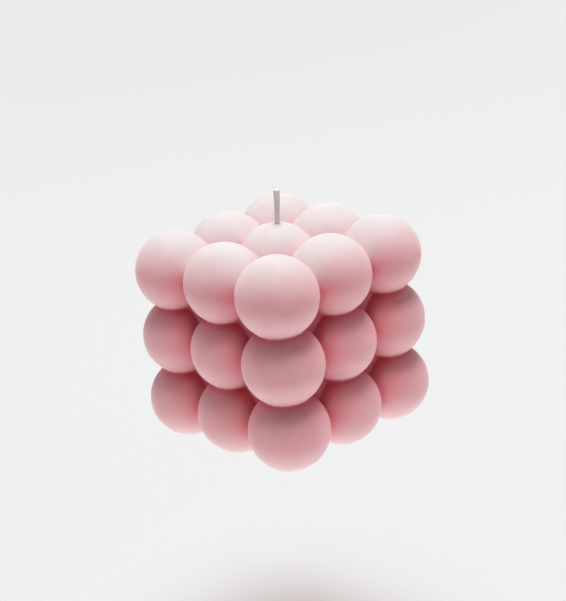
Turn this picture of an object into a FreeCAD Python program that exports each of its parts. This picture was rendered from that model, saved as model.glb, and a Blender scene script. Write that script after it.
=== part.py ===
# Bubble cube candle: a cast wax cube of merged balls, three each way, with a cotton wick.
# Millimetres, +Z up. The origin is the middle of the flat feet that the candle stands on.
import FreeCAD
import Part
import math
import os

# Balls: their outer surfaces are 60 mm apart across the cube
ball_radius = 10.7
pitch = 19.3  # centre to centre of neighbouring balls across the cube
layer_rise = 18.2  # centre to centre of neighbouring layers, a little closer than across
places = (-1, 0, 1)  # three balls each way, counted from the middle one

# Webs: the flat wax that closes each gap between four balls
web_proud = 1.7  # how far a web lies outside the centres of the balls round it

# Feet: each bottom ball is flat where the candle stands
foot_radius = 3.3

# Wick: braided cotton, held all the way through the wax and trimmed short above it
wick_radius = 0.68  # where the wax holds it
wick_middle_radius = 0.79  # halfway up the free end
wick_tip_radius = 0.95  # the cut end has opened out
wick_clearance = 0.04  # the wax shrinks this much away from the wick all round
wick_free_length = 9.3
wick_lean = 3.5  # degrees from upright
wick_heading = -43.0  # degrees from +X, the side that the free end leans to
wick_x = 0.3  # the wick comes up a little off the middle of the top ball
wick_y = -0.8
wick_recess = 0.3  # its lower end is trimmed this far inside the foot

foot_depth = math.sqrt(ball_radius**2 - foot_radius**2)  # from a bottom ball's centre to its flat
middle_z = foot_depth + layer_rise  # height of the middle layer's centres
up = FreeCAD.Vector(0, 0, 1)


def ball_centre(column, row, layer):
    return FreeCAD.Vector(column * pitch, row * pitch, middle_z + layer * layer_rise)


def outer_balls():
    balls = []
    for column in places:
        for row in places:
            for layer in places:
                if (column, row, layer) != (0, 0, 0):
                    balls.append(Part.makeSphere(ball_radius, ball_centre(column, row, layer)))
    return balls


def wax_core():
    # One block inside the balls, whose faces show only as the webs in the gaps
    half_width = pitch + web_proud
    half_height = layer_rise + web_proud
    corner = FreeCAD.Vector(-half_width, -half_width, middle_z - half_height)
    return Part.makeBox(2 * half_width, 2 * half_width, 2 * half_height, corner)


def below_feet():
    # The space under the plane that the feet stand on
    reach = 2 * (pitch + ball_radius)
    return Part.makeBox(reach, reach, ball_radius, FreeCAD.Vector(-reach / 2, -reach / 2, -ball_radius))


def wick_exit_height():
    # Where the wick's middle line comes out of the top ball
    off_middle = math.hypot(wick_x, wick_y)
    return middle_z + layer_rise + math.sqrt(ball_radius**2 - off_middle**2)


def wick_bore():
    radius = wick_radius + wick_clearance
    return Part.makeCylinder(radius, wick_exit_height() + ball_radius, FreeCAD.Vector(wick_x, wick_y, 0))


def make_wax_body():
    wax = wax_core().fuse(outer_balls()).removeSplitter()
    wax = wax.cut(below_feet())
    return wax.cut(wick_bore())


def wick_ring(share, radius, direction, foot):
    # One round section of the free end, at a share of its length
    centre = foot + direction * (wick_free_length * share)
    normal = up if share == 0 else direction
    return Part.Wire(Part.makeCircle(radius, centre, normal))


def make_wick():
    lean = math.radians(wick_lean)
    heading = math.radians(wick_heading)
    sideways = math.sin(lean)
    direction = FreeCAD.Vector(sideways * math.cos(heading), sideways * math.sin(heading), math.cos(lean))
    exit_height = wick_exit_height()
    start = FreeCAD.Vector(wick_x, wick_y, wick_recess)
    foot = FreeCAD.Vector(wick_x, wick_y, exit_height)
    held = Part.makeCylinder(wick_radius, exit_height - wick_recess, start)
    rings = [
        wick_ring(0, wick_radius, direction, foot),
        wick_ring(0.5, wick_middle_radius, direction, foot),
        wick_ring(1, wick_tip_radius, direction, foot),
    ]
    free_end = Part.makeLoft(rings, True)
    return held.fuse(free_end).removeSplitter()


os.makedirs("parts", exist_ok=True)
pieces = {"wax_body": make_wax_body(), "wick": make_wick()}
for name, shape in pieces.items():
    shape.exportStep("parts/" + name + ".step")
    print(name, "solids", len(shape.Solids), "valid", shape.isValid(), "volume", round(shape.Volume, 1))
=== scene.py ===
import itertools
import math
import bmesh
import bpy
import numpy as np
from mathutils import Matrix, Vector


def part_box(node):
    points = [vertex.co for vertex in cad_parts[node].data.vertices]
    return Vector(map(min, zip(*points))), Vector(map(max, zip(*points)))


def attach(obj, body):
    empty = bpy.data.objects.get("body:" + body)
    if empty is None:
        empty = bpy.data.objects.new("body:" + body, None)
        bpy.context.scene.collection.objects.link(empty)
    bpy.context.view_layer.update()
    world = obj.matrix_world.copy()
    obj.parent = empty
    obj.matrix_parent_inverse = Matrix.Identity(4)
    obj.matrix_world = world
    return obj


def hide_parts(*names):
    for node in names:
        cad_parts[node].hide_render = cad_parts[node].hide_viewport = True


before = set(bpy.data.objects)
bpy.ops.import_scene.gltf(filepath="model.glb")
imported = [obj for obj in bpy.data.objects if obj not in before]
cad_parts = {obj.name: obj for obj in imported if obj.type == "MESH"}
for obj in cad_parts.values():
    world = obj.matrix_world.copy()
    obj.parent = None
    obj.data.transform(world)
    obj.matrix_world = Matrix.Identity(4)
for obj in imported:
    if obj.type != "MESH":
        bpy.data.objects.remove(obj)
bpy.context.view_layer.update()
scene = bpy.context.scene
milli = 0.001


def deselectAll():
    if bpy.context.object and bpy.context.object.mode != "OBJECT":
        bpy.ops.object.mode_set(mode="OBJECT")
    bpy.ops.object.select_all(action="DESELECT")


def selectOnly(piece):
    deselectAll()
    piece.select_set(True)
    bpy.context.view_layer.objects.active = piece


def editMode(piece, kind="VERT"):
    selectOnly(piece)
    bpy.ops.object.mode_set(mode="EDIT")
    bpy.ops.mesh.select_mode(type=kind)
    bpy.ops.mesh.select_all(action="DESELECT")


def objectMode():
    bpy.ops.object.mode_set(mode="OBJECT")


def pick(piece, items, test):
    # in edit mode: selects the vertices, edges or faces that pass the test
    shape = bmesh.from_edit_mesh(piece.data)
    for item in getattr(shape, items):
        item.select_set(bool(test(item)))
    bmesh.update_edit_mesh(piece.data)


def applyModifiers(piece):
    selectOnly(piece)
    for modifier in list(piece.modifiers):
        bpy.ops.object.modifier_apply(modifier=modifier.name)


def settle(piece):
    # place, turn and size go into the mesh, so the object sits at the origin
    selectOnly(piece)
    bpy.ops.object.transform_apply(location=True, rotation=True, scale=True)


def joinAll(pieces, name):
    deselectAll()
    for piece in pieces:
        piece.select_set(True)
    bpy.context.view_layer.objects.active = pieces[0]
    bpy.ops.object.join()
    whole = bpy.context.object
    whole.name = name
    return whole


def axisVector(axis, length):
    vector = Vector((0, 0, 0))
    vector[axis] = length
    return vector


def newMaterial(name):
    material = bpy.data.materials.new(name)
    material.use_nodes = True
    nodes = material.node_tree.nodes
    return material, nodes, material.node_tree.links, nodes["Principled BSDF"]


def addNode(nodes, kind, **values):
    node = nodes.new(kind)
    for key, value in values.items():
        if key in node.inputs:
            node.inputs[key].default_value = value
        else:
            setattr(node, key, value)
    return node


# wax body: one eighth is modelled about the middle of the cube and mirrored three ways
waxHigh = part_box("wax_body")[1]
wax = {
    "ballRadius": 10.7 * milli,
    "ballCuts": 27,
    "layerRise": 18.2 * milli,
    "mergeDistance": 0.002 * milli,
    "cutThreshold": 0.0001 * milli,
    "webProud": 1.7 * milli,  # the webs lie this far outside the balls' centres
    "webRound": 0.35 * milli,  # the soft corner between a web and the balls round it
    "webRoundSteps": 5,
    "webRings": (0.8, 0.75, 0.66, 0.5),  # each ring over the one outside it, towards the web's middle
    "webPlaneNear": 0.001 * milli,  # an edge this near a web's plane is on its rim
    "creaseReach": 0.9 * milli,  # the wax is rounded this far each side of a crease
    "creaseRounds": 10,
    "creaseEase": 0.5,  # share of the way that each round moves a point
    "boreRadius": 0.72 * milli,
    "boreAt": (0.3 * milli, -0.8 * milli),
    "boreSides": 48,
    "rimReach": 1.9 * milli,  # wax drawn up round the wick
    "rimHeight": 0.16 * milli,
    "rimSpread": 0.45 * milli,
    "rimCuts": 3,
    "smoothAngle": 30,
    "webShade": 0.5,  # the webs lie in the shade of the gaps
    "coverShade": 0.5,  # deeper shade on what faces up under another ball
    "coverSky": 0.6,  # where this much of the sky is seen, nothing covers a point
    "lookDirections": 240,  # directions that each point looks in to see how open it is
    "lookBlur": 6,
    "onBall": 1e-7,  # square metres: how far a squared distance may be from the squared radius
}
pitch = waxHigh.x - wax["ballRadius"]
spacing = (pitch, pitch, wax["layerRise"])
middleHeight = waxHigh.z - wax["ballRadius"] - wax["layerRise"]


def makeBall(spot):
    deselectAll()
    bpy.ops.mesh.primitive_cube_add(size=2 * wax["ballRadius"])
    ball = bpy.context.object
    editMode(ball)
    bpy.ops.mesh.select_all(action="SELECT")
    bpy.ops.mesh.subdivide(number_cuts=wax["ballCuts"])
    objectMode()
    cast = ball.modifiers.new("round", "CAST")
    cast.factor = 1.0
    applyModifiers(ball)
    ball.dimensions = (2 * wax["ballRadius"],) * 3
    ball.location = spot
    settle(ball)
    return ball


def cutAcross(piece, axis, place, drop):
    editMode(piece)
    bpy.ops.mesh.select_all(action="SELECT")
    bpy.ops.mesh.bisect(plane_co=axisVector(axis, place), plane_no=axisVector(axis, 1),
                        threshold=wax["cutThreshold"],
                        clear_inner=drop == "below", clear_outer=drop == "above")
    objectMode()


def insideWebs(point, webOuter):
    return all(point[axis] < webOuter[axis] for axis in range(3))


def trimBall(ball, place, webOuter):
    # a ball keeps what lies in its own cell of this eighth and outside the webs
    for axis in range(3):
        seam = spacing[axis] / 2
        if place[axis]:
            cutAcross(ball, axis, seam, "below")
            cutAcross(ball, axis, webOuter[axis], "nothing")
        else:
            cutAcross(ball, axis, 0, "below")
            cutAcross(ball, axis, seam, "above")
    editMode(ball, "FACE")
    pick(ball, "faces", lambda face: insideWebs(face.calc_center_median(), webOuter))
    bpy.ops.mesh.delete(type="FACE")
    objectMode()


def shrinkRing(share, centre, rise):
    bpy.ops.mesh.extrude_region()
    bpy.ops.transform.resize(value=(share, share, share), center_override=centre)
    bpy.ops.transform.translate(value=rise)


def onPlane(edge, axis, place):
    return all(abs(end.co[axis] - place) < wax["webPlaneNear"] for end in edge.verts)


def closeWeb(skin, axis, outer):
    # the gap between four balls: a soft corner down to the flat web, then rings to its middle
    centre = Vector([step / 2 for step in spacing])
    centre[axis] = outer
    toBalls = math.hypot(*[step / 2 for other, step in enumerate(spacing) if other != axis])
    nearest = toBalls - wax["ballRadius"]
    editMode(skin, "EDGE")
    pick(skin, "edges", lambda edge: edge.is_boundary and onPlane(edge, axis, outer))
    share = 1
    height = wax["webRound"]
    for step in range(wax["webRoundSteps"]):
        turn = math.radians(90) * (step + 1) / wax["webRoundSteps"]
        newShare = 1 - wax["webRound"] * (1 - math.cos(turn)) / nearest
        newHeight = wax["webRound"] * (1 - math.sin(turn))
        shrinkRing(newShare / share, centre, axisVector(axis, newHeight - height))
        centre[axis] += newHeight - height
        share = newShare
        height = newHeight
    for ring in wax["webRings"]:
        shrinkRing(ring, centre, Vector((0, 0, 0)))
    bpy.ops.mesh.merge(type="CENTER")
    objectMode()


def nearCrease(place):
    # creases lie on the planes halfway between neighbouring balls
    return any(abs(abs(place[axis]) - spacing[axis] / 2) < wax["creaseReach"] for axis in range(3))


def makeEighth(webOuter):
    balls = []
    for layer, row, column in itertools.product((0, 1), repeat=3):
        place = (column, row, layer)
        if any(place):  # the ball at the very middle is never seen
            ball = makeBall([there * step for there, step in zip(place, spacing)])
            trimBall(ball, place, webOuter)
            balls.append(ball)
    skin = joinAll(balls, "waxSkin")
    editMode(skin)
    bpy.ops.mesh.select_all(action="SELECT")
    bpy.ops.mesh.remove_doubles(threshold=wax["mergeDistance"])
    objectMode()
    return skin


def softenCreases(skin):
    editMode(skin)
    bpy.ops.mesh.select_all(action="SELECT")
    bpy.ops.mesh.normals_make_consistent(inside=False)
    bpy.ops.mesh.select_all(action="DESELECT")
    pick(skin, "verts", lambda vertex: nearCrease(vertex.co))
    bpy.ops.mesh.vertices_smooth(factor=wax["creaseEase"], repeat=wax["creaseRounds"])
    objectMode()


def cutFeet(skin):
    # the cube goes up to its own height, and what is below the feet is cut off flat
    skin.location.z = middleHeight
    settle(skin)
    editMode(skin)
    bpy.ops.mesh.select_all(action="SELECT")
    bpy.ops.mesh.bisect(plane_co=(0, 0, 0), plane_no=(0, 0, 1), threshold=wax["cutThreshold"],
                        clear_inner=True, use_fill=True)
    objectMode()


def makeWaxSkin():
    webOuter = [step + wax["webProud"] + wax["webRound"] for step in spacing]
    skin = makeEighth(webOuter)
    for axis in range(3):
        closeWeb(skin, axis, webOuter[axis])
    mirror = skin.modifiers.new("eightfold", "MIRROR")
    mirror.use_axis = (True, True, True)
    mirror.merge_threshold = wax["mergeDistance"]
    applyModifiers(skin)
    softenCreases(skin)
    cutFeet(skin)
    return skin


def fromBore(point):
    return math.hypot(point[0] - wax["boreAt"][0], point[1] - wax["boreAt"][1])


def cutBore(skin):
    # finer faces round the wick, a low rim of wax drawn up to it, then the hole right through
    topBand = waxHigh.z - wax["rimReach"]
    editMode(skin, "FACE")
    pick(skin, "faces", lambda face: face.calc_center_median().z > topBand
         and fromBore(face.calc_center_median()) < wax["rimReach"])
    bpy.ops.mesh.subdivide(number_cuts=wax["rimCuts"])
    shape = bmesh.from_edit_mesh(skin.data)
    for vertex in shape.verts:
        away = fromBore(vertex.co)
        if vertex.co.z > topBand and away < wax["rimReach"]:
            ballTop = math.sqrt(wax["ballRadius"] ** 2 - vertex.co.x ** 2 - vertex.co.y ** 2)
            outside = max(0, away - wax["boreRadius"])
            rim = wax["rimHeight"] * math.exp(-(outside / wax["rimSpread"]) ** 2)
            vertex.co.z = waxHigh.z - wax["ballRadius"] + ballTop + rim
    bmesh.update_edit_mesh(skin.data)
    objectMode()
    deselectAll()
    depth = 2 * waxHigh.z
    bpy.ops.mesh.primitive_cylinder_add(vertices=wax["boreSides"], radius=wax["boreRadius"], depth=depth,
                                        location=(*wax["boreAt"], waxHigh.z / 2))
    drill = bpy.context.object
    bore = skin.modifiers.new("wickBore", "BOOLEAN")
    bore.operation = "DIFFERENCE"
    bore.object = drill
    applyModifiers(skin)
    bpy.data.objects.remove(drill)


def compass(count):
    # directions spread evenly over a whole sphere
    index = np.arange(count) + 0.5
    height = 1 - 2 * index / count
    turn = math.pi * (1 + math.sqrt(5)) * index
    flat = np.sqrt(1 - height * height)
    return np.stack([flat * np.cos(turn), flat * np.sin(turn), height], axis=1)


def diffuse(values, ends, rounds):
    # spreads a value along the mesh's edges, as the wax spreads light
    shares = np.bincount(ends.ravel(), minlength=len(values))
    for _ in range(rounds):
        total = np.bincount(ends[:, 0], values[ends[:, 1]], len(values))
        total += np.bincount(ends[:, 1], values[ends[:, 0]], len(values))
        values = 0.5 * values + 0.5 * total / shares
    return values


def readRows(items, name, width, kind):
    # one row of numbers for each vertex or edge
    values = np.empty(len(items) * width, kind)
    items.foreach_get(name, values)
    return values.reshape(-1, width)


def fromBalls(points):
    # from each ball's centre to every point
    away = []
    for place in itertools.product((-1, 0, 1), repeat=3):
        if any(place):
            centre = np.array([there * step for there, step in zip(place, spacing)], np.float32)
            away.append(points - centre - np.array((0, 0, middleHeight), np.float32))
    return away


def lookAround(skin):
    # for each point of the skin: how open it is, and how much of the sky above it sees; these set the
    # wax's colour, for painted shade and painted light
    points = readRows(skin.data.vertices, "co", 3, np.float32)
    normals = readRows(skin.data.vertices, "normal", 3, np.float32)
    ends = readRows(skin.data.edges, "vertices", 2, np.int32)
    away = fromBalls(points)
    depth = [(offset * offset).sum(axis=1) - wax["ballRadius"] ** 2 for offset in away]
    openSum = np.zeros(len(points))
    openMost = np.zeros(len(points))
    skySum = np.zeros(len(points))
    skyMost = 0
    for direction in compass(wax["lookDirections"]).astype(np.float32):
        facing = normals @ direction
        free = facing > 0
        for offset, outside in zip(away, depth):
            along = offset @ direction
            free &= ~((along < 0) & (along * along > outside) & (outside > -wax["onBall"]))
        openSum += np.where(free, facing, 0)
        openMost += np.maximum(facing, 0)
        if direction[2] > 0:
            skySum += free * direction[2]
            skyMost += direction[2]
    openness = openSum / openMost
    skyView = skySum / skyMost
    # painted shade: what faces up under another ball counts as less open, so its colour darkens
    covered = np.clip(normals[:, 2], 0, 1) * np.clip(1 - skyView / wax["coverSky"], 0, 1)
    openness *= 1 - wax["coverShade"] * covered
    # painted shade: the webs count as less open, so their colour darkens
    topWeb = waxHigh.z - wax["ballRadius"] + wax["webProud"] + wax["webRound"]
    onWeb = (np.min(depth, axis=0) > 2 * wax["onBall"]) & (points[:, 2] < topWeb)
    openness[onWeb] *= wax["webShade"]
    skyView[onWeb] *= wax["webShade"]
    for name, values in (("openness", openness), ("skyView", skyView)):
        layer = skin.data.attributes.new(name, "FLOAT", "POINT")
        layer.data.foreach_set("value", diffuse(values, ends, wax["lookBlur"]).astype(np.float32))


waxSkin = makeWaxSkin()
cutBore(waxSkin)
lookAround(waxSkin)
selectOnly(waxSkin)
bpy.ops.object.shade_smooth_by_angle(angle=math.radians(wax["smoothAngle"]))
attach(waxSkin, "root")
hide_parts("wax_body")
print("wax skin:", len(waxSkin.data.polygons), "faces")


waxFinishAndPaintedLight = {
    # the wax's own colour where it is open, with painted shade that deepens and reddens it into the
    # creases: colour against how open the wax is
    "waxAndCreaseShade": ((0.0, (0.43, 0.03, 0.06)), (0.30, (0.76, 0.13, 0.18)), (0.55, (0.895, 0.315, 0.36)),
               (0.80, (0.945, 0.405, 0.44)), (1.0, (0.96, 0.495, 0.525))),
    # painted light: a paler colour where more light falls, on what faces up and a little on what faces
    # down, also against how open it is
    "paintedLight": ((0.0, (0.43, 0.03, 0.06)), (0.3, (0.76, 0.27, 0.31)), (0.45, (0.76, 0.57, 0.58)),
              (0.6, (0.765, 0.6, 0.61)), (0.8, (0.71, 0.61, 0.615)), (1.0, (0.66, 0.61, 0.61))),
    # how much of it, against the share of the sky that a point sees over how open it is
    "paintedLightBy": ((0.0, 0.6), (0.2, 0.44), (0.3, 0.32), (0.42, 0.13), (0.5, 0.02), (0.57, 0.03), (0.7, 0.37),
                (0.8, 0.55), (0.9, 0.8), (1.0, 1.0)),
    "cloud": (0.955, 0.945, 0.95),  # slow, faint clouds in the wax, about 6 mm
    "cloudScale": 170.0,
    "cloudDetail": 3.0,
    "cloudRange": (0.35, 0.75),
    "grainScale": 1500.0,  # fine grain left by the mould
    "grainDetail": 3.0,
    "grainRoughness": 0.6,
    "grainStrength": 0.35,
    "grainDepth": 0.04 * milli,
    "waveScale": 330.0,  # slow waves in the surface, about 3 mm
    "waveDetail": 2.0,
    "waveRange": (0.3, 0.7),
    "waveStrength": 0.25,
    "waveDepth": 0.12 * milli,
    "roughness": (0.62, 0.78),
    "sheen": 0.2,
    "sheenRoughness": 0.3,
    "spread": (1.0, 0.88, 0.86),  # how far red, green and blue light spread in the wax
    "spreadLength": 1.4 * milli,
}


def makeRamp(nodes, stops):
    ramp = addNode(nodes, "ShaderNodeValToRGB")
    colours = ramp.color_ramp
    colours.elements[0].position = stops[0][0]
    colours.elements[0].color = (*stops[0][1], 1)
    colours.elements[1].position = stops[-1][0]
    colours.elements[1].color = (*stops[-1][1], 1)
    for place, colour in stops[1:-1]:
        colours.elements.new(place).color = (*colour, 1)
    return ramp


def mixColour(nodes, links, amount, first, second, blend="MIX"):
    # amount and the two colours are each an output socket or a fixed value
    mix = addNode(nodes, "ShaderNodeMix", data_type="RGBA", blend_type=blend)
    for socket, value in ((mix.inputs[0], amount), (mix.inputs[6], first), (mix.inputs[7], second)):
        if isinstance(value, bpy.types.NodeSocket):
            links.new(value, socket)
        else:
            socket.default_value = value if isinstance(value, float) else (*value, 1)
    return mix.outputs[2]


def addNoise(nodes, links, scale, detail, roughness=0.5):
    place = addNode(nodes, "ShaderNodeTexCoord")
    noise = addNode(nodes, "ShaderNodeTexNoise", Scale=scale, Detail=detail, Roughness=roughness)
    links.new(place.outputs["Object"], noise.inputs["Vector"])
    return noise.outputs["Fac"]


def mapValue(nodes, links, value, given, wanted=(0, 1)):
    span = addNode(nodes, "ShaderNodeMapRange")
    for name, number in zip(("From Min", "From Max", "To Min", "To Max"), (*given, *wanted)):
        span.inputs[name].default_value = number
    links.new(value, span.inputs["Value"])
    return span.outputs["Result"]


def addBump(nodes, links, height, strength, depth, under=None):
    bump = addNode(nodes, "ShaderNodeBump", Strength=strength, Distance=depth)
    links.new(height, bump.inputs["Height"])
    if under:
        links.new(under, bump.inputs["Normal"])
    return bump.outputs["Normal"]


def makeWaxMaterial():
    material, nodes, links, shader = newMaterial("pinkWax")
    openness = addNode(nodes, "ShaderNodeAttribute", attribute_name="openness").outputs["Fac"]
    skyView = addNode(nodes, "ShaderNodeAttribute", attribute_name="skyView").outputs["Fac"]
    # painted shade: the wax's colour darkens and reddens towards the creases, by how open each point is
    waxAndCreaseShade = makeRamp(nodes, waxFinishAndPaintedLight["waxAndCreaseShade"])
    links.new(openness, waxAndCreaseShade.inputs["Fac"])
    # painted light: paler where a point sees much of the sky for how open it is, and a little on what
    # faces down
    facingUp = addNode(nodes, "ShaderNodeMath", operation="DIVIDE")
    links.new(skyView, facingUp.inputs[0])
    links.new(openness, facingUp.inputs[1])
    paintedLightAmount = makeRamp(nodes, [(place, (amount,) * 3) for place, amount in waxFinishAndPaintedLight["paintedLightBy"]])
    links.new(facingUp.outputs["Value"], paintedLightAmount.inputs["Fac"])
    paintedLight = makeRamp(nodes, waxFinishAndPaintedLight["paintedLight"])
    links.new(openness, paintedLight.inputs["Fac"])
    withPaintedLight = mixColour(nodes, links, paintedLightAmount.outputs["Color"],
                        waxAndCreaseShade.outputs["Color"], paintedLight.outputs["Color"])
    clouds = addNoise(nodes, links, waxFinishAndPaintedLight["cloudScale"], waxFinishAndPaintedLight["cloudDetail"])
    cloudAmount = mapValue(nodes, links, clouds, waxFinishAndPaintedLight["cloudRange"])
    clouded = mixColour(nodes, links, cloudAmount, withPaintedLight, waxFinishAndPaintedLight["cloud"], "MULTIPLY")
    links.new(clouded, shader.inputs["Base Color"])
    waves = addNoise(nodes, links, waxFinishAndPaintedLight["waveScale"], waxFinishAndPaintedLight["waveDetail"])
    rough = mapValue(nodes, links, waves, waxFinishAndPaintedLight["waveRange"], waxFinishAndPaintedLight["roughness"])
    links.new(rough, shader.inputs["Roughness"])
    grain = addNoise(nodes, links, waxFinishAndPaintedLight["grainScale"], waxFinishAndPaintedLight["grainDetail"],
                     waxFinishAndPaintedLight["grainRoughness"])
    wavy = addBump(nodes, links, waves, waxFinishAndPaintedLight["waveStrength"], waxFinishAndPaintedLight["waveDepth"])
    grainy = addBump(nodes, links, grain, waxFinishAndPaintedLight["grainStrength"], waxFinishAndPaintedLight["grainDepth"], wavy)
    links.new(grainy, shader.inputs["Normal"])
    shader.inputs["Sheen Weight"].default_value = waxFinishAndPaintedLight["sheen"]
    shader.inputs["Sheen Roughness"].default_value = waxFinishAndPaintedLight["sheenRoughness"]
    shader.inputs["Subsurface Weight"].default_value = 1.0
    shader.inputs["Subsurface Radius"].default_value = waxFinishAndPaintedLight["spread"]
    shader.inputs["Subsurface Scale"].default_value = waxFinishAndPaintedLight["spreadLength"]
    return material


waxSkin.data.materials.clear()
waxSkin.data.materials.append(makeWaxMaterial())

# wick: cotton yarns braided round a core yarn, all the way from the foot to the trimmed end
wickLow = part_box("wick")[0]
wick = {
    "radius": 0.68 * milli,  # where the wax holds it
    "evenOpening": 0.17 * milli,  # it widens this much evenly over the free end
    "lateOpening": 0.10 * milli,  # and this much more towards the cut
    "freeLength": 9.3 * milli,
    "lean": 3.5,
    "heading": -43.0,
    "yarnsEachWay": 8,
    "yarnShare": 0.21,  # yarn radius over wick radius
    "crossing": 0.35,  # how far a yarn dips under another, in yarn radii
    "turnLength": 7.0 * milli,  # along the wick for one turn of a yarn
    "pointsPerTurn": 48,
    "sectionSteps": 2,
    "coreShare": 0.87,
    "coreSteps": 40,
    "cutStep": 0.03 * milli,  # the core and the two sets of yarns end this much apart
    "cutThreshold": 0.00001 * milli,
    "smoothAngle": 50,
}
aboveCentre = math.sqrt(wax["ballRadius"] ** 2 - fromBore((0, 0)) ** 2)  # to where it leaves the top ball
heldLength = aboveCentre + waxHigh.z - wax["ballRadius"] - wickLow.z
wholeLength = heldLength + wick["freeLength"]


def wickRadius(along):
    share = max(0, along - heldLength) / wick["freeLength"]
    return wick["radius"] + wick["evenOpening"] * share + wick["lateOpening"] * share * share


def wickPlace(along):
    # middle of the wick and its three directions at this length from its lower end
    foot = Vector((*wax["boreAt"], wickLow.z))
    heading = math.radians(wick["heading"])
    lean = math.radians(wick["lean"]) if along > heldLength else 0
    towards = Vector((math.cos(heading), math.sin(heading), 0))
    forward = Vector((0, 0, math.cos(lean))) + towards * math.sin(lean)
    held = min(along, heldLength)
    middle = foot + Vector((0, 0, held)) + forward * (along - held)
    side = forward.cross(towards).normalized()
    return middle, forward, side, side.cross(forward)


def yarnPoints(first, way, overshoot):
    # a yarn goes round with its own side and passes over and under each yarn of the other side
    count = math.ceil((wholeLength + 2 * overshoot) / wick["turnLength"] * wick["pointsPerTurn"])
    points = []
    for index in range(count + 1):
        along = -overshoot + (wholeLength + 2 * overshoot) * index / count
        turn = 2 * math.pi * along / wick["turnLength"]
        middle, forward, side, across = wickPlace(along)
        radius = wickRadius(along)
        yarn = radius * wick["yarnShare"]
        weave = 0.5 * (1 + way * math.cos(wick["yarnsEachWay"] * turn))
        out = radius - yarn - (1 - weave) * wick["crossing"] * yarn
        angle = first + way * turn
        points.append((middle + (side * math.cos(angle) + across * math.sin(angle)) * out, yarn))
    return points


def corePoints(overshoot):
    points = []
    for index in range(wick["coreSteps"] + 1):
        along = -overshoot + (wholeLength + 2 * overshoot) * index / wick["coreSteps"]
        points.append((wickPlace(along)[0], wickRadius(along) * wick["coreShare"]))
    return points


def makeYarns(name, routes):
    line = bpy.data.curves.new(name, "CURVE")
    line.dimensions = "3D"
    line.bevel_depth = 1  # times each point's own radius
    line.bevel_resolution = wick["sectionSteps"]
    line.use_fill_caps = True
    for route in routes:
        spline = line.splines.new("POLY")
        spline.points.add(len(route) - 1)
        for point, (place, radius) in zip(spline.points, route):
            point.co = (*place, 1)
            point.radius = radius
    yarns = bpy.data.objects.new(name, line)
    scene.collection.objects.link(yarns)
    selectOnly(yarns)
    bpy.ops.object.convert(target="MESH")
    return bpy.context.object


def trimEnds(yarns, drop):
    # both ends cut flat and closed, this far inside the wick's own ends
    tip, forward = wickPlace(wholeLength - drop)[:2]
    for place, outwards in ((tip, forward), (wickPlace(drop)[0], Vector((0, 0, -1)))):
        editMode(yarns)
        bpy.ops.mesh.select_all(action="SELECT")
        bpy.ops.mesh.bisect(plane_co=place, plane_no=outwards, threshold=wick["cutThreshold"],
                            clear_outer=True)
        bpy.ops.mesh.select_mode(type="EDGE")
        bpy.ops.mesh.select_all(action="DESELECT")
        pick(yarns, "edges", lambda edge: edge.is_boundary)
        bpy.ops.mesh.edge_face_add()
    objectMode()


def makeWick():
    overshoot = 2 * wick["radius"]
    sets = [makeYarns("wickCore", [corePoints(overshoot)])]
    firsts = [2 * math.pi * index / wick["yarnsEachWay"] for index in range(wick["yarnsEachWay"])]
    for way in (1, -1):
        sets.append(makeYarns("wickYarns", [yarnPoints(first, way, overshoot) for first in firsts]))
    for index, yarns in enumerate(sets):
        trimEnds(yarns, index * wick["cutStep"])
    braid = joinAll(sets, "wickBraid")
    bpy.ops.object.shade_smooth_by_angle(angle=math.radians(wick["smoothAngle"]))
    return braid


wickBraid = makeWick()
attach(wickBraid, "root")
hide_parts("wick")
print("wick:", len(wickBraid.data.polygons), "faces")


cottonFinish = {
    # the cotton's own pale colour with a random mottle, and a painted pink tint for the light that the
    # pink wax throws on the wick
    "pale": (1.0, 0.97, 0.95),
    "shade": (1.0, 0.93, 0.90),
    "patchScale": 900.0,
    "patchDetail": 2.0,
    "patchRange": (0.35, 0.65),
    "fibreScale": 9000.0,
    "fibreDetail": 3.0,
    "fibreRoughness": 0.7,
    "fibreRange": (0.3, 0.7),
    "fibreStrength": 0.2,
    "fibreDepth": 0.03 * milli,
    "roughness": (0.75, 0.95),
    "gloss": 1.0,
    "waxCoat": 0.8,  # the wick has been dipped in wax
    "coatRoughness": 0.35,
    "sheen": 1.0,
    "sheenRoughness": 0.5,
}


def makeCottonMaterial():
    material, nodes, links, shader = newMaterial("cottonYarn")
    patches = addNoise(nodes, links, cottonFinish["patchScale"], cottonFinish["patchDetail"])
    fibres = addNoise(nodes, links, cottonFinish["fibreScale"], cottonFinish["fibreDetail"],
                      cottonFinish["fibreRoughness"])
    mottle = mapValue(nodes, links, patches, cottonFinish["patchRange"])
    yarnColour = mixColour(nodes, links, mottle, cottonFinish["pale"], cottonFinish["shade"])
    links.new(yarnColour, shader.inputs["Base Color"])
    rough = mapValue(nodes, links, fibres, cottonFinish["fibreRange"], cottonFinish["roughness"])
    links.new(rough, shader.inputs["Roughness"])
    fibrous = addBump(nodes, links, fibres, cottonFinish["fibreStrength"], cottonFinish["fibreDepth"])
    links.new(fibrous, shader.inputs["Normal"])
    shader.inputs["Specular IOR Level"].default_value = cottonFinish["gloss"]
    shader.inputs["Coat Weight"].default_value = cottonFinish["waxCoat"]
    shader.inputs["Coat Roughness"].default_value = cottonFinish["coatRoughness"]
    shader.inputs["Sheen Weight"].default_value = cottonFinish["sheen"]
    shader.inputs["Sheen Roughness"].default_value = cottonFinish["sheenRoughness"]
    return material


wickBraid.data.materials.clear()
wickBraid.data.materials.append(makeCottonMaterial())

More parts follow.
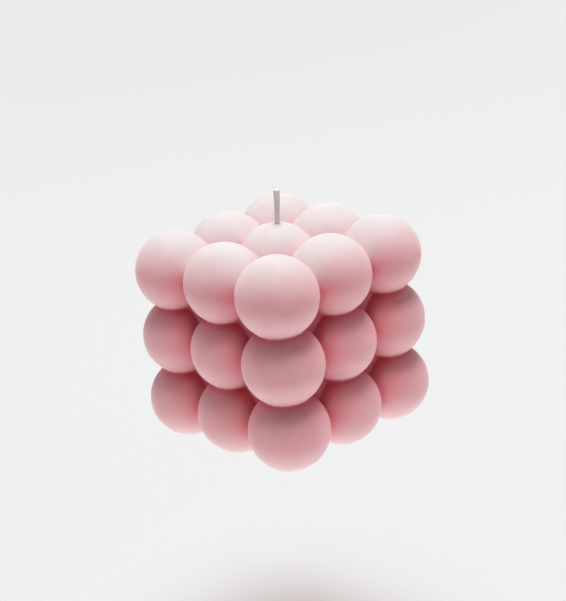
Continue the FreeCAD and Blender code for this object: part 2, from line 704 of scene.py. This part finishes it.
# stage: the candle hangs above a pale floor as in the photograph, so its shadow lies low in the picture
stage = {
    "floorDrop": 71.5 * milli,
    "floorReach": 6.0,
    "floorColour": (0.94, 0.94, 0.94, 1),  # what lights the candle from below
    "floorRoughness": 0.9,
    # painted light: the glow is warmer than the lit part, so the shadow under the candle comes out pink, a
    # painted bounce of light from the wax
    "seenNear": (0.514, 0.437, 0.437),  # what the camera sees besides the lit floor, near and far
    "seenFar": (0.712, 0.686, 0.686),
    "seenColour": (0.306, 0.373, 0.373, 1),
    "fade": (0.1, 1.3),  # how far from the middle the near colour ends and the far one begins
}


def seenOrReflected(nodes, links):
    # 1 for what is seen, straight or in a reflection, and 0 for what lights the candle
    rays = addNode(nodes, "ShaderNodeLightPath")
    either = addNode(nodes, "ShaderNodeMath", operation="MAXIMUM")
    links.new(rays.outputs["Is Camera Ray"], either.inputs[0])
    links.new(rays.outputs["Is Glossy Ray"], either.inputs[1])
    return either.outputs["Value"]


def makeStage():
    deselectAll()
    bpy.ops.mesh.primitive_plane_add(size=2 * stage["floorReach"], location=(0, 0, -stage["floorDrop"]))
    floor = bpy.context.object
    floor.name = "floor"
    settle(floor)
    material, nodes, links, shader = newMaterial("paleFloor")
    shader.inputs["Base Color"].default_value = stage["floorColour"]
    shader.inputs["Roughness"].default_value = stage["floorRoughness"]
    shader.inputs["Specular IOR Level"].default_value = 0.0
    place = addNode(nodes, "ShaderNodeTexCoord")
    distance = addNode(nodes, "ShaderNodeVectorMath", operation="LENGTH")
    links.new(place.outputs["Object"], distance.inputs[0])
    fade = mapValue(nodes, links, distance.outputs["Value"], stage["fade"])
    glow = addNode(nodes, "ShaderNodeEmission")
    glowColour = mixColour(nodes, links, fade, stage["seenNear"], stage["seenFar"])
    links.new(glowColour, glow.inputs["Color"])
    lit = addNode(nodes, "ShaderNodeBsdfDiffuse", Color=stage["seenColour"])
    seen = addNode(nodes, "ShaderNodeAddShader")
    links.new(glow.outputs["Emission"], seen.inputs[0])
    links.new(lit.outputs["BSDF"], seen.inputs[1])
    byRay = addNode(nodes, "ShaderNodeMixShader")
    links.new(seenOrReflected(nodes, links), byRay.inputs["Fac"])
    links.new(shader.outputs["BSDF"], byRay.inputs[1])
    links.new(seen.outputs["Shader"], byRay.inputs[2])
    links.new(byRay.outputs["Shader"], nodes["Material Output"].inputs["Surface"])
    floor.data.materials.append(material)
    print("floor:", round(stage["floorDrop"] / milli, 1), "mm below the feet")


makeStage()

# light: softboxes above, below and, fainter, behind and to the left
# each has its heading and height in degrees, then its distance, size and power
light = {
    "overhead": (0, 90, 2.0, 1.6, 11.5),
    "overheadKey": (47, 85.4, 1.0, 0.38, 10.6),
    "below": (0, -90, 0.09, 0.4, 0.146),  # a pale table gives much light back from below
    "belowWide": (0, -90, 0.09, 1.5, 1.21),
    "behindRight": (92, 15, 1.2, 0.9, 1.6),
    "behindLeft": (-178, 15, 1.2, 0.9, 1.06),
    "left": (-133, 15, 1.2, 0.9, 0.85),
}
surroundLight = 0.02  # how much the surround lights the candle
surroundSeen = 0.8  # how bright it looks in a reflection


def makeSoftbox(name, heading, height, distance, size, power):
    lamp = bpy.data.lights.new(name, "AREA")
    lamp.shape = "SQUARE"
    lamp.size = size
    lamp.energy = power
    softbox = bpy.data.objects.new(name, lamp)
    around = math.radians(heading)
    above = math.radians(height)
    direction = Vector((math.sin(around) * math.cos(above), -math.cos(around) * math.cos(above),
                        math.sin(above)))
    turn = direction.to_track_quat("Z", "Y").to_matrix().to_4x4()
    softbox.matrix_world = Matrix.Translation(direction * distance + Vector((0, 0, middleHeight))) @ turn
    softbox.visible_camera = False
    scene.collection.objects.link(softbox)


def makeLight():
    world = bpy.data.worlds.new("studio")
    scene.world = world
    world.use_nodes = True
    nodes, links = world.node_tree.nodes, world.node_tree.links
    surround = nodes["Background"]
    surround.inputs["Color"].default_value = (1, 1, 1, 1)
    strength = mapValue(nodes, links, seenOrReflected(nodes, links), (0, 1), (surroundLight, surroundSeen))
    links.new(strength, surround.inputs["Strength"])
    for name, values in light.items():
        makeSoftbox(name, *values)
    print("light:", len(light), "softboxes")


makeLight()

# camera: place and turn fitted to the outlines of the balls in the photograph, lengths in ball spacings
cameraView = {
    "azimuth": -42.92,
    "elevation": 20.09,
    "roll": -5.24,
    "distance": 22.03 * pitch,
    "slideRight": -0.0112 * pitch,
    "slideUp": 0.3505 * pitch,
    "lens": 94.68,
    "sensorWidth": 36,
}


def makeCamera():
    middle = Vector((0, 0, middleHeight))
    azimuth = math.radians(cameraView["azimuth"])
    elevation = math.radians(cameraView["elevation"])
    roll = math.radians(cameraView["roll"])
    back = Vector((math.sin(azimuth) * math.cos(elevation), -math.cos(azimuth) * math.cos(elevation),
                   math.sin(elevation)))
    flatRight = Vector((math.cos(azimuth), math.sin(azimuth), 0))
    flatUp = back.cross(flatRight)
    right = flatRight * math.cos(roll) + flatUp * math.sin(roll)
    upward = flatUp * math.cos(roll) - flatRight * math.sin(roll)
    place = middle + back * cameraView["distance"]
    place += right * cameraView["slideRight"] + upward * cameraView["slideUp"]
    camera = bpy.data.objects.new("camera", bpy.data.cameras.new("camera"))
    camera.data.lens = cameraView["lens"]
    camera.data.sensor_width = cameraView["sensorWidth"]
    camera.matrix_world = Matrix((
        (right.x, upward.x, back.x, place.x),
        (right.y, upward.y, back.y, place.y),
        (right.z, upward.z, back.z, place.z),
        (0, 0, 0, 1),
    ))
    scene.collection.objects.link(camera)
    scene.camera = camera
    print("camera:", cameraView["lens"], "mm lens")


makeCamera()
scene.view_settings.view_transform = "Standard"
